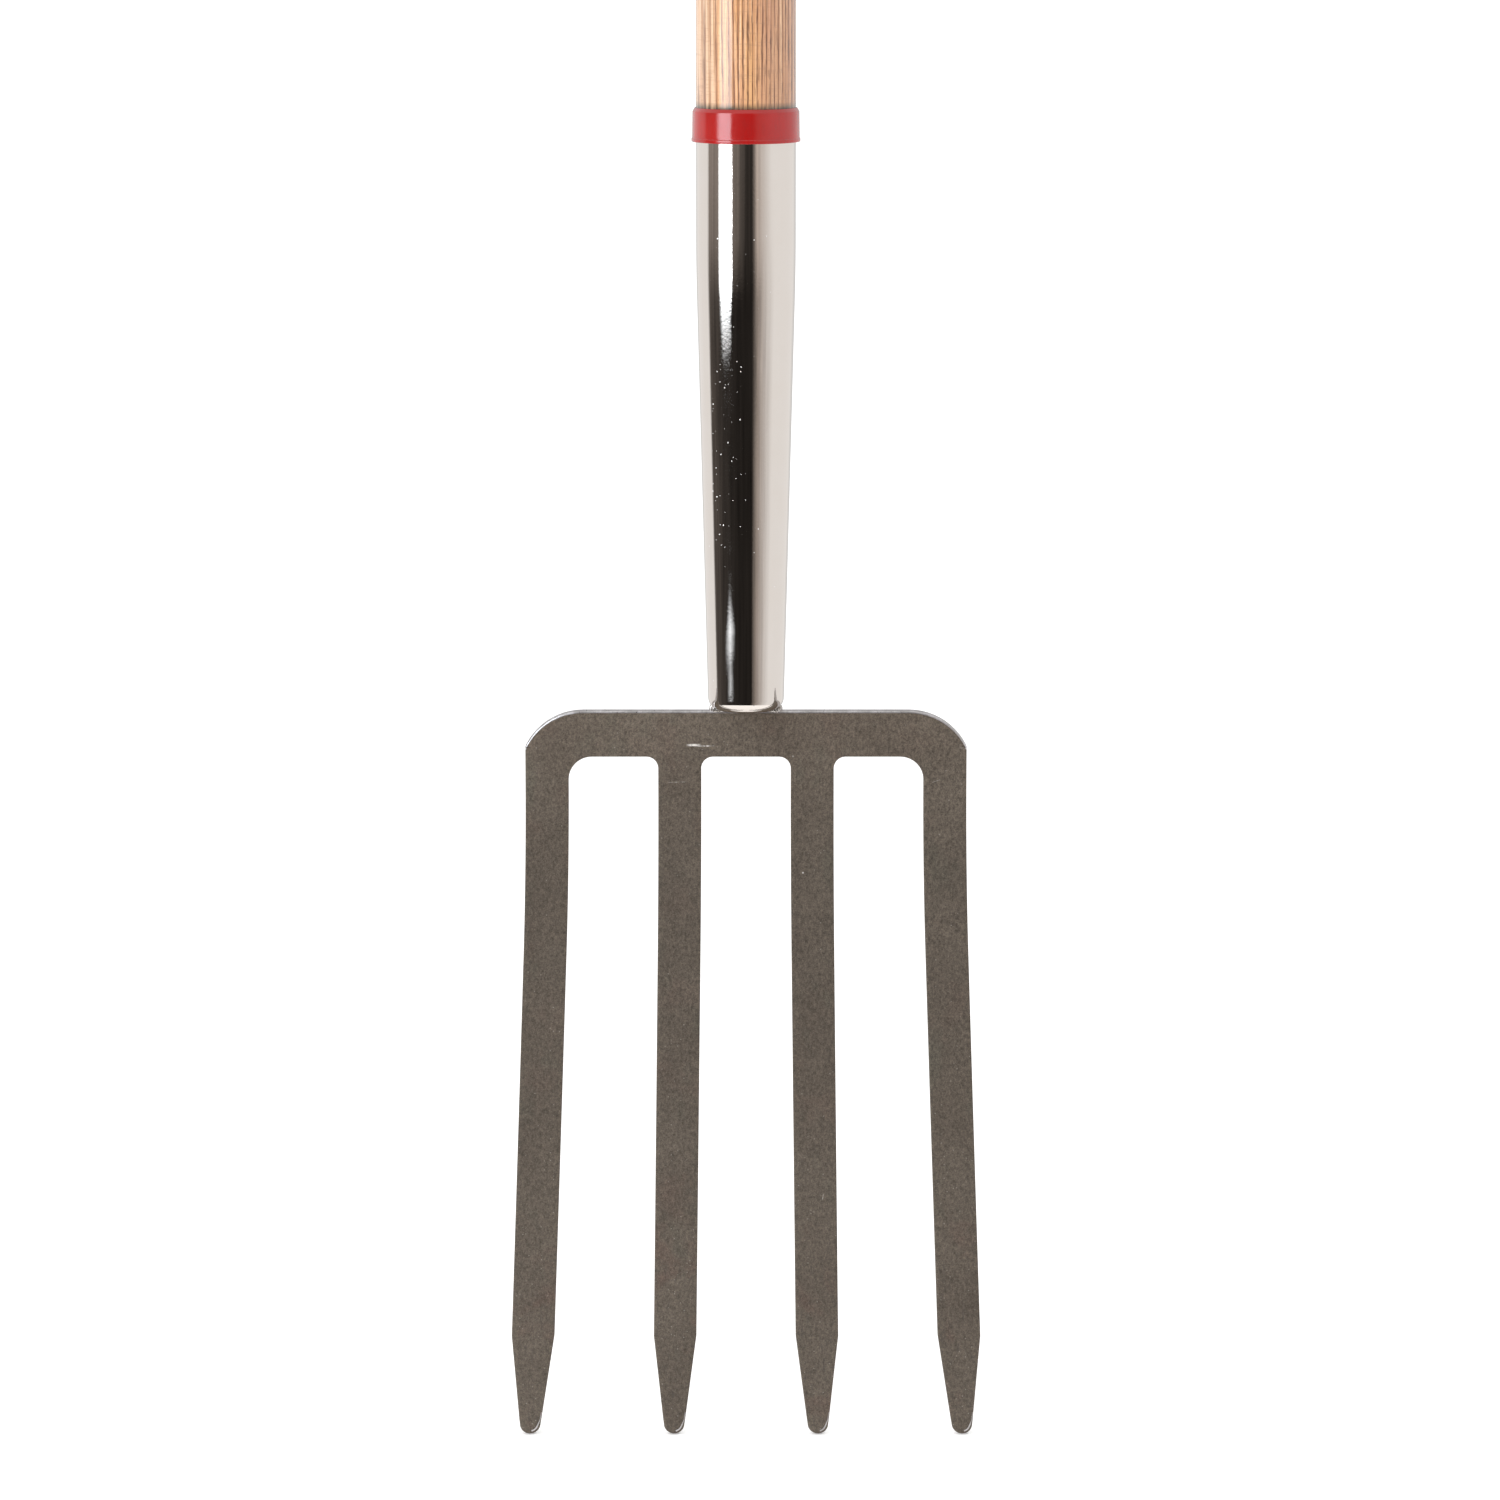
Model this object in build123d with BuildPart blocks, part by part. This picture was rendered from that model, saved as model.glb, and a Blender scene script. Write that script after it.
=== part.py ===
from build123d import *
import os
from math import asin, atan2, cos, degrees, radians, sin, tan

# Digging fork, in millimetres. +Z runs up the shaft and the front of the fork faces -Y.
# The origin is on the shaft's axis, level with the tips of the tines.

# Fork head: one flat plate with four tines
head_length = 293.4        # tips to the tread, along Z
head_width = 176.4         # across the tread
plate = 5.0                # plate thickness
web_height = 18.6          # tread to the tops of the gaps
tread_corner = 25.8        # radius of the outer shoulders of the plate
tread_flat = 130.0         # length of the straight part of the tread
seat_half = 17.6           # half length of the low land under the socket
seat_rise = 0.3
tine_width = 17.2
inner_centre = 26.5        # inner tines, distance from the axis at the web
inner_lean = 0.65          # outward lean below the bend, degrees
outer_lean = 1.95
lean_drop = 11.0           # straight length under the web before the tines bend outwards
lean_bend = 70.0           # length over which they bend outwards
gap_radius = 4.7           # upper corners of the gaps, beside the inner tines
outer_gap_radius = 9.4     # the same, beside the outer tines
point_length = 39.6        # taper at the end of each tine
point_width = 7.4          # width across the rounded end
point_radius = 4.0
curve_start = 240.0        # height at which the tines begin to curve forward
curve_radius = 1700.0
tip_bevel = 2.5            # length of the bevel ground on the front of each tip
tip_thickness = 3.4

# Socket: a tapered steel tube with a solid foot, which takes the shaft
socket_foot_radius = 15.15
socket_foot_corner = 5.0
socket_taper = 1.5         # degrees from the axis
socket_radius = 19.65      # at the straight upper end
socket_bend = 917.0        # radius that joins the taper to the straight end
socket_wall = 1.6
socket_floor = 12.0        # solid foot, below the bore
socket_top = 528.0
weld_bead = 1.2            # radius of the beads along the plate
weld_end = 2.4             # radius of the thicker ends of the weld

# Collar: a plastic ring over the top of the socket and the foot of the bare shaft
collar_bottom = 519.7
collar_height = 13.4
collar_radius = 21.2
collar_chamfer = 1.3
lip_radius = 21.45         # the slightly wider lip at the foot of the collar
lip_height = 1.5

# Shaft: turned ash, with a tapered end in the socket
shaft_radius = 19.7
shaft_fit = 0.1            # gap between the wood and the parts that it fits into
shaft_end_gap = 3.0        # space left under the tapered end
rivet_height = 480.0       # rivet through the back of the socket
rivet_radius = 2.4
rivet_head = 4.6
rivet_dome = 1.8
rivet_depth = 24.0

# D-shaped grip, heights measured from the foot of its hub
grip_bottom = 925.0
grip_height = 165.0
grip_width = 128.0
grip_depth = 27.0
grip_edge = 8.0            # rounding of the arms' edges
hub_radius = 24.0
hub_foot_radius = 23.0
hub_height = 60.0
hub_bore = 50.0
bar_radius = 14.0          # core of the crossbar
bar_drop = 17.5            # crossbar's axis below the top
arm_foot = 48.0            # height at which the arms leave the hub
arm_knee = 116.0           # height at which they turn upright
opening_foot = 72.0        # foot of the hand opening
opening_foot_half = 13.0   # half width of the opening at its foot
opening_half = 44.0        # half width of the opening under the crossbar
knee_radius = 26.0
elbow_radius = 22.0
shoulder_radius = 17.0
throat_radius = 11.0       # at the foot of the hand opening
sleeve_radius = 16.8
sleeve_gap = 0.2           # gap between the sleeve's ends and the arms
groove_count = 7
groove_pitch = 10.0
groove_width = 2.4
groove_depth = 0.8
hub_rivet_height = 26.0
hub_rivet_radius = 3.0
hub_rivet_head = 5.8
hub_rivet_dome = 2.2

# Worked out from the dimensions above
tread = head_length
seat = tread + seat_rise
gap_top = tread - web_height
outer_centre = (head_width - tine_width) / 2
shoulder_turn = degrees(asin((head_width - tread_flat) / 2 / tread_corner))
point_angle = degrees(atan2(point_length, (tine_width - point_width) / 2))
curve_turn = degrees(asin(curve_start / curve_radius))
tip_forward = curve_radius * (1 - cos(radians(curve_turn)))
taper_slope = tan(radians(socket_taper))
taper_top = seat + socket_foot_corner + (socket_radius - socket_foot_radius) / taper_slope
bore_floor = seat + socket_floor
bore_floor_radius = socket_radius - socket_wall - (taper_top - bore_floor) * taper_slope
shaft_end = bore_floor + shaft_end_gap
shaft_top = grip_bottom + hub_bore - shaft_fit
grip_top = grip_bottom + grip_height
bar_height = grip_top - bar_drop
elbow = grip_bottom + arm_foot
knee = grip_bottom + arm_knee
throat = grip_bottom + opening_foot
yoke_foot = elbow - hub_radius
hub_top = grip_bottom + hub_height


def save(part, name):
    """Label a finished piece and write it as one STEP file."""
    part.label = name
    export_step(part, f"parts/{name}.step")
    print(f"{name}: {len(part.solids())} solid(s), {part.volume / 1000:.2f} cm3")


def rear_hole(height, depth):
    """The place of a hole that goes into the shaft's line from behind."""
    return Plane((0, depth, height), z_dir=(0, 1, 0))


os.makedirs("parts", exist_ok=True)

# ---- Fork head: the front outline cut from a plate that curves forward ----

with BuildPart() as fork_head:
    with BuildSketch(Plane.XZ) as front:
        with BuildLine():
            top = Line((0, tread), (tread_flat / 2, tread))
            shoulder = JernArc(top @ 1, (1, 0), tread_corner, -shoulder_turn)
            side = Line(shoulder @ 1, (head_width / 2, gap_top))
            Line(side @ 1, (0, gap_top))
            mirror(about=Plane.YZ)
        make_face()
        with Locations((0, tread)):
            Rectangle(2 * seat_half, 2 * seat_rise)
        for centre, lean in ((inner_centre, inner_lean), (outer_centre, outer_lean)):
            for hand in (1, -1):
                with BuildLine() as spine:
                    drop = Line((hand * centre, gap_top), (hand * centre, gap_top - lean_drop))
                    bend = JernArc(drop @ 1, (0, -1), lean_bend / sin(radians(lean)), hand * lean)
                    PolarLine(bend @ 1, (bend @ 1).Y - point_length, hand * lean - 90)
                trace(spine.edges(), tine_width)
                with Locations(Location(tuple(spine.line @ 1), (0, 0, hand * lean))):
                    Trapezoid(tine_width, point_length, point_angle, rotation=180,
                              align=(Align.CENTER, Align.MIN))
        gap_corners = front.vertices().filter_by(lambda v: abs(v.Y - gap_top) < 0.01)
        fillet(gap_corners.filter_by(lambda v: abs(v.X) < outer_centre - tine_width), gap_radius)
        gap_corners = front.vertices().filter_by(lambda v: abs(v.Y - gap_top) < 0.01)
        fillet(gap_corners.filter_by(lambda v: abs(v.X) > outer_centre - tine_width), outer_gap_radius)
        fillet(front.vertices().filter_by(lambda v: v.Y < point_width / 2), point_radius)
    extrude(amount=head_width, both=True)
    with BuildSketch(Plane.YZ):
        with BuildLine() as spine:
            flat = Line((0, seat), (0, curve_start))
            JernArc(flat @ 1, (0, -1), curve_radius, -curve_turn - 1)
        trace(spine.edges(), plate)
        with Locations(Location((-tip_forward, 0), (0, 0, -curve_turn))):
            Polygon((-plate, tip_bevel), (-plate / 2, tip_bevel), (plate / 2 - tip_thickness, 0),
                    (plate / 2 - tip_thickness, -tip_bevel), (-plate, -tip_bevel),
                    align=None, mode=Mode.SUBTRACT)
    extrude(amount=head_width, both=True, mode=Mode.INTERSECT)
save(fork_head.part, "fork_head")

# ---- Socket: turned about the shaft's axis, standing on the land of the tread ----

with BuildPart() as socket:
    with BuildSketch(Plane.XZ):
        with BuildLine():
            foot = Line((0, seat), (socket_foot_radius - socket_foot_corner, seat))
            corner = JernArc(foot @ 1, (1, 0), socket_foot_corner, 90 - socket_taper)
            bend_start = taper_top - socket_bend * tan(radians(socket_taper / 2))
            wall_run = (bend_start - (corner @ 1).Y) * taper_slope
            wall = Line(corner @ 1, ((corner @ 1).X + wall_run, bend_start))
            bend = JernArc(wall @ 1, wall % 1, socket_bend, socket_taper)
            Polyline(bend @ 1, ((bend @ 1).X, socket_top), (socket_radius - socket_wall, socket_top),
                     (socket_radius - socket_wall, taper_top), (bore_floor_radius, bore_floor),
                     (0, bore_floor), (0, seat))
        make_face()
    revolve(axis=Axis.Z)
    with Locations(rear_hole(rivet_height, 0)):
        Cylinder(rivet_radius, 2 * socket_radius, align=(Align.CENTER, Align.CENTER, Align.MIN),
                 mode=Mode.SUBTRACT)
save(socket.part, "socket")

# ---- Weld: a bead on each side of the plate, joined at the ends by thicker runs ----

with BuildPart() as socket_welds:
    bead_place = plate / 2 + weld_bead / 3
    with Locations((0, -bead_place, seat), (0, bead_place, seat)):
        Cylinder(weld_bead, 2 * (socket_foot_radius - weld_end), rotation=(0, 90, 0))
    run_place = socket_foot_radius - weld_end
    with Locations((run_place, 0, seat + weld_end / 4), (-run_place, 0, seat + weld_end / 4)):
        Sphere(weld_end)
    add(fork_head.part, mode=Mode.SUBTRACT)
    add(socket.part, mode=Mode.SUBTRACT)
save(socket_welds.part, "socket_welds")

# ---- Collar ----

with BuildPart() as collar:
    with BuildSketch(Plane.XZ) as ring:
        with Locations((shaft_radius, collar_bottom)):
            Rectangle(collar_radius - shaft_radius, collar_height, align=(Align.MIN, Align.MIN))
            Rectangle(lip_radius - shaft_radius, lip_height, align=(Align.MIN, Align.MIN))
        chamfer(ring.vertices().group_by(Axis.Y)[-1].sort_by(Axis.X)[-1], collar_chamfer)
        fillet(ring.vertices().group_by(Axis.X)[-1], (lip_radius - collar_radius) * 0.9)
    revolve(axis=Axis.Z)
save(collar.part, "collar")

# ---- Shaft: a tapered end in the socket, a shoulder on its rim, then straight to the grip ----

with BuildPart() as shaft:
    fit_radius = socket_radius - socket_wall - shaft_fit
    end_radius = bore_floor_radius + shaft_end_gap * taper_slope - shaft_fit
    with BuildSketch(Plane.XZ):
        with BuildLine():
            Polyline((0, shaft_end), (end_radius, shaft_end), (fit_radius, taper_top),
                     (fit_radius, socket_top), (shaft_radius, socket_top), (shaft_radius, shaft_top),
                     (0, shaft_top), close=True)
        make_face()
    revolve(axis=Axis.Z)
    chamfer(shaft.edges().group_by(Axis.Z)[-1], 1)
    with Locations(rear_hole(rivet_height, socket_radius - rivet_depth)):
        Cylinder(rivet_radius, rivet_depth, align=(Align.CENTER, Align.CENTER, Align.MIN), mode=Mode.SUBTRACT)
    with Locations(rear_hole(grip_bottom + hub_rivet_height, 0)):
        Cylinder(hub_rivet_radius, 4 * shaft_radius, mode=Mode.SUBTRACT)
save(shaft.part, "shaft")

# ---- Socket rivet: a shank into the wood and a domed head on the back of the socket ----

with BuildPart() as socket_rivet:
    with Locations(rear_hole(rivet_height, socket_radius - rivet_depth)):
        Cylinder(rivet_radius, rivet_depth, align=(Align.CENTER, Align.CENTER, Align.MIN))
    with BuildSketch(Plane.XY.offset(rivet_height)):
        with BuildLine():
            seat = Line((0, socket_radius - 1), (rivet_head, socket_radius - 1))
            rise = Line(seat @ 1, (rivet_head, socket_radius - rivet_dome / 4))
            ThreePointArc(rise @ 1, (rivet_head * 0.64, socket_radius + rivet_dome * 0.55),
                          (0, socket_radius + rivet_dome))
            Line((0, socket_radius + rivet_dome), seat @ 0)
        make_face()
    revolve(axis=Axis((0, 0, rivet_height), (0, 1, 0)))
    add(socket.part, mode=Mode.SUBTRACT)
save(socket_rivet.part, "socket_rivet")

# ---- Grip frame: a hub on the shaft, two arms and the core of the crossbar ----

with BuildPart() as grip_frame:
    with BuildSketch(Plane.XZ.offset(-grip_depth / 2)) as yoke:
        with BuildLine():
            Polyline((0, yoke_foot), (hub_foot_radius, yoke_foot), (hub_radius, elbow),
                     (grip_width / 2, knee), (grip_width / 2, grip_top), (opening_half, grip_top),
                     (opening_half, knee + hub_foot_radius / 4), (opening_foot_half, throat), (0, throat))
            mirror(about=Plane.YZ)
        make_face()
        fillet(yoke.vertices().filter_by(lambda v: abs(v.Y - knee) < 0.01), knee_radius)
        fillet(yoke.vertices().filter_by(lambda v: abs(v.Y - elbow) < 0.01), elbow_radius)
        tops = yoke.vertices().filter_by(lambda v: abs(v.Y - grip_top) < 0.01)
        fillet(tops.filter_by(lambda v: abs(v.X) > opening_half + 1), shoulder_radius)
        throat_corners = yoke.vertices().filter_by(lambda v: abs(v.Y - throat) < 0.01)
        fillet(throat_corners.filter_by(lambda v: abs(v.X) > 1), throat_radius)
    extrude(amount=grip_depth)
    sides = grip_frame.faces().filter_by(Axis.Y)
    fillet(sides.edges(), grip_edge)
    with BuildSketch(Plane.XZ) as hub:
        with BuildLine():
            Polyline((0, grip_bottom), (hub_foot_radius, grip_bottom), (hub_radius, elbow),
                     (hub_radius * 0.8, hub_top), (0, hub_top + 3), close=True)
        make_face()
        fillet(hub.vertices().sort_by(Axis.X)[-1], throat_radius)
    revolve(axis=Axis.Z)
    with Locations((0, 0, bar_height)):
        Cylinder(bar_radius, 2 * opening_half + grip_edge, rotation=(0, 90, 0))
    with Locations((0, 0, grip_bottom)):
        Cylinder(shaft_radius + shaft_fit, hub_bore, align=(Align.CENTER, Align.CENTER, Align.MIN),
                 mode=Mode.SUBTRACT)
    with Locations(rear_hole(grip_bottom + hub_rivet_height, 0)):
        Cylinder(hub_rivet_radius, 4 * hub_radius, mode=Mode.SUBTRACT)
save(grip_frame.part, "grip_frame")

# ---- Grip sleeve: soft moulding round the crossbar, with grooves for the fingers ----

with BuildPart() as grip_sleeve:
    with BuildSketch(Plane.XZ):
        with Locations((0, bar_height + (bar_radius + sleeve_radius) / 2)):
            Rectangle(2 * (opening_half - sleeve_gap), sleeve_radius - bar_radius)
        with Locations((0, bar_height + sleeve_radius)):
            with GridLocations(groove_pitch, 1, groove_count, 1):
                Trapezoid(groove_width, 2 * groove_depth, 60, rotation=180, mode=Mode.SUBTRACT)
    revolve(axis=Axis((0, 0, bar_height), (1, 0, 0)))
save(grip_sleeve.part, "grip_sleeve")

# ---- Hub rivet: one shank through the hub and the shaft, domed at both ends ----

with BuildPart() as hub_rivet:
    with BuildSketch(Plane.XY.offset(grip_bottom + hub_rivet_height)):
        with BuildLine():
            rivet_end = hub_radius + hub_rivet_dome
            Line((0, 0), (0, rivet_end))
            ThreePointArc((0, rivet_end), (hub_rivet_head * 0.64, hub_radius + hub_rivet_dome * 0.55),
                          (hub_rivet_head, hub_radius - hub_rivet_dome / 4))
            Polyline((hub_rivet_head, hub_radius - hub_rivet_dome / 4), (hub_rivet_head, hub_radius - 2),
                     (hub_rivet_radius, hub_radius - 2), (hub_rivet_radius, 0), (0, 0))
        make_face()
    revolve(axis=Axis((0, 0, grip_bottom + hub_rivet_height), (0, 1, 0)))
    mirror(about=Plane.XZ)
    add(grip_frame.part, mode=Mode.SUBTRACT)
save(hub_rivet.part, "hub_rivet")
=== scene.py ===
import math
import random

import bmesh
import bpy
import numpy as np
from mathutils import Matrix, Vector


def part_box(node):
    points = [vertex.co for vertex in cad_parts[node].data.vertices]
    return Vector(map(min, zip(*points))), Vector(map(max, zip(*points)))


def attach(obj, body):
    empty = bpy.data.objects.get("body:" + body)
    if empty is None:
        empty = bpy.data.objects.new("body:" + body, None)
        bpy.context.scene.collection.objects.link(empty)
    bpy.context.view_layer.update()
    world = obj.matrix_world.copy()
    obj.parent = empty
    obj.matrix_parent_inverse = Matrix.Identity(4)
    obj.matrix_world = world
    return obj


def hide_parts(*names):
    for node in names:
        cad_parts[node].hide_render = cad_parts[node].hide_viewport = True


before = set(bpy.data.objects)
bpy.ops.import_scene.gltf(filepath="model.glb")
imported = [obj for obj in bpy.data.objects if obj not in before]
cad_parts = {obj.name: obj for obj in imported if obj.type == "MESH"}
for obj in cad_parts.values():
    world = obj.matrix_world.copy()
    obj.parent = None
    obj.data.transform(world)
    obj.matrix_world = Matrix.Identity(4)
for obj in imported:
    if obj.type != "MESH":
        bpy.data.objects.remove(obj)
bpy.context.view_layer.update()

MM = 0.001
ON_AXIS = 1e-6                  # a radius below this is a point on the axis
head_low, head_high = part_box("fork_head")
weld_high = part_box("socket_welds")[1]
rivet_low, rivet_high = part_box("socket_rivet")
hub_rivet_low, hub_rivet_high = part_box("hub_rivet")
socket_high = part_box("socket")[1]
collar_low, collar_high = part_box("collar")
shaft_low, shaft_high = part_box("shaft")
frame_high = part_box("grip_frame")[1]
sleeve_low, sleeve_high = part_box("grip_sleeve")

# Fork head, as in the CAD model
SEAT = head_high.z              # low land under the socket
TREAD = SEAT - 0.3 * MM
HALF_HEAD = 88.2 * MM
PLATE = 5.0 * MM
WEB = 18.6 * MM
GAP_TOP = TREAD - WEB
SHOULDER = 25.8 * MM            # radius of the plate's outer shoulders
TREAD_HALF = 65.0 * MM
HALF_TINE = 8.6 * MM
ARC_START = 0.4375              # where the shoulder's arc leaves the side, in parts of its radius
SHOULDER_TURN = 26              # the same place as an angle, in whole degrees
INNER_CORNER = 4.7 * MM         # gap corners beside the inner tines
OUTER_CORNER = 9.4 * MM         # gap corners beside the outer tines
# Each tine on the right: centre, lean, corner radius of the gap on its inner and its outer side
TINES = ((26.5 * MM, math.radians(0.65), INNER_CORNER, INNER_CORNER),
         (79.6 * MM, math.radians(1.95), OUTER_CORNER, 0.0))
OUTER_TINE = 0.05               # the outer tines' centres are further out than this
LEAN_DROP = 11.0 * MM           # the lean starts this far below the gaps' tops
LEAN_BEND = 70.0 * MM           # and bends in over this height
POINT = 39.6 * MM               # height of the tapered points
POINT_HALF = 3.7 * MM
POINT_ROUND = 4.0 * MM
CURVE_START = 240.0 * MM        # the tines curve forward below this height
CURVE_RADIUS = 1.7
# Finish of the plate's edges and points, here only
TIP_THINNING = 0.15             # in parts of the thickness
EDGE = 0.4 * MM                 # rounding of the plate's edges
TOP_EDGE = 0.9 * MM             # worn rounding along the tread
TIP_LIFT = 0.15 * MM            # keeps the points' rounding off the floor
TIP_EDGE = 1.4 * MM             # ground rounding round the ends of the points


# ---------------------------------------------------------------- meshes

def mesh_object(name, verts, faces, smooth=True):
    mesh = bpy.data.meshes.new(name)
    mesh.from_pydata([tuple(v) for v in verts], [], faces)
    mesh.validate()
    bm = bmesh.new()
    bm.from_mesh(mesh)
    bmesh.ops.recalc_face_normals(bm, faces=bm.faces)
    bm.to_mesh(mesh)
    bm.free()
    if smooth:
        mesh.shade_smooth()
    obj = bpy.data.objects.new(name, mesh)
    bpy.context.collection.objects.link(obj)
    return obj


def arc(centre, radius, start, end, steps):
    """Points of an arc in a profile, angles in degrees."""
    return [(centre[0] + radius * math.cos(math.radians(a)), centre[1] + radius * math.sin(math.radians(a)))
            for a in np.linspace(start, end, steps)]


def lathe(name, profile, segments=128, place=None, closed=False):
    """Turns a profile of (radius, place along the axis). An open profile starts and ends on the axis."""
    place = place or about_z
    verts, faces, rings = [], [], []
    for r, h in profile:
        if r < ON_AXIS:
            rings.append([len(verts)] * segments)
            verts.append(place(0.0, 0.0, h))
            continue
        rings.append(list(range(len(verts), len(verts) + segments)))
        verts += [place(2 * math.pi * i / segments, r, h) for i in range(segments)]
    pairs = list(zip(rings, rings[1:])) + ([(rings[-1], rings[0])] if closed else [])
    for low_ring, high_ring in pairs:
        for i in range(segments):
            j = (i + 1) % segments
            corners = (low_ring[i], low_ring[j], high_ring[j], high_ring[i])
            faces.append(tuple(dict.fromkeys(corners)))
    return mesh_object(name, verts, faces)


def about_z(angle, r, h):
    return r * math.sin(angle), -r * math.cos(angle), h


def about_x(height, flatten=1.0):
    """Turns about a line along X at a height, a little flattened from front to back."""
    return lambda angle, r, h: (h, -flatten * r * math.cos(angle), height + r * math.sin(angle))


def about_y(height):
    return lambda angle, r, h: (r * math.sin(angle), h, height + r * math.cos(angle))


def tine_offset(z, lean):
    """How far a tine's centreline has leaned outwards at height z."""
    drop = GAP_TOP - LEAN_DROP - z
    if drop <= 0:
        return 0.0
    radius = LEAN_BEND / math.sin(lean)
    if drop <= LEAN_BEND:
        return radius - math.sqrt(radius**2 - drop**2)
    return radius * (1 - math.cos(lean)) + (drop - LEAN_BEND) * math.tan(lean)


def half_width(z):
    """Half the width of a tine at height z, with its tapered point and rounded end."""
    if z >= POINT:
        return HALF_TINE
    slope = (HALF_TINE - POINT_HALF) / POINT
    flat = POINT_HALF + slope * POINT_ROUND - POINT_ROUND * math.sqrt(1 + slope**2)
    tangent = POINT_ROUND * (1 + slope / math.sqrt(1 + slope**2))
    if z >= tangent:
        return POINT_HALF + slope * z
    return flat + math.sqrt(max(0.0, POINT_ROUND**2 - (POINT_ROUND - z) ** 2))


def gap_flare(z, radius):
    """How far a gap's rounded upper corner has widened the tine at height z."""
    rise = z - (GAP_TOP - radius)
    if rise <= 0 or radius == 0:
        return 0.0
    return radius - math.sqrt(max(0.0, radius**2 - rise**2))


def row_breaks(z):
    """The x of each tine's two edges at height z, from left to right."""
    breaks = []
    for centre, lean, inner, outer in TINES:
        middle = centre + tine_offset(z, lean)
        half = half_width(z) / math.cos(lean)
        edge = middle + half
        if centre > OUTER_TINE and z > GAP_TOP - LEAN_DROP:
            edge = HALF_HEAD
        arc_foot = TREAD - SHOULDER
        if centre > OUTER_TINE and z > arc_foot:
            edge = min(edge, TREAD_HALF + math.sqrt(max(0.0, SHOULDER**2 - (z - arc_foot) ** 2)))
        breaks += [middle - half - gap_flare(z, inner), edge + gap_flare(z, outer)]
    return [-b for b in reversed(breaks)] + breaks


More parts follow.
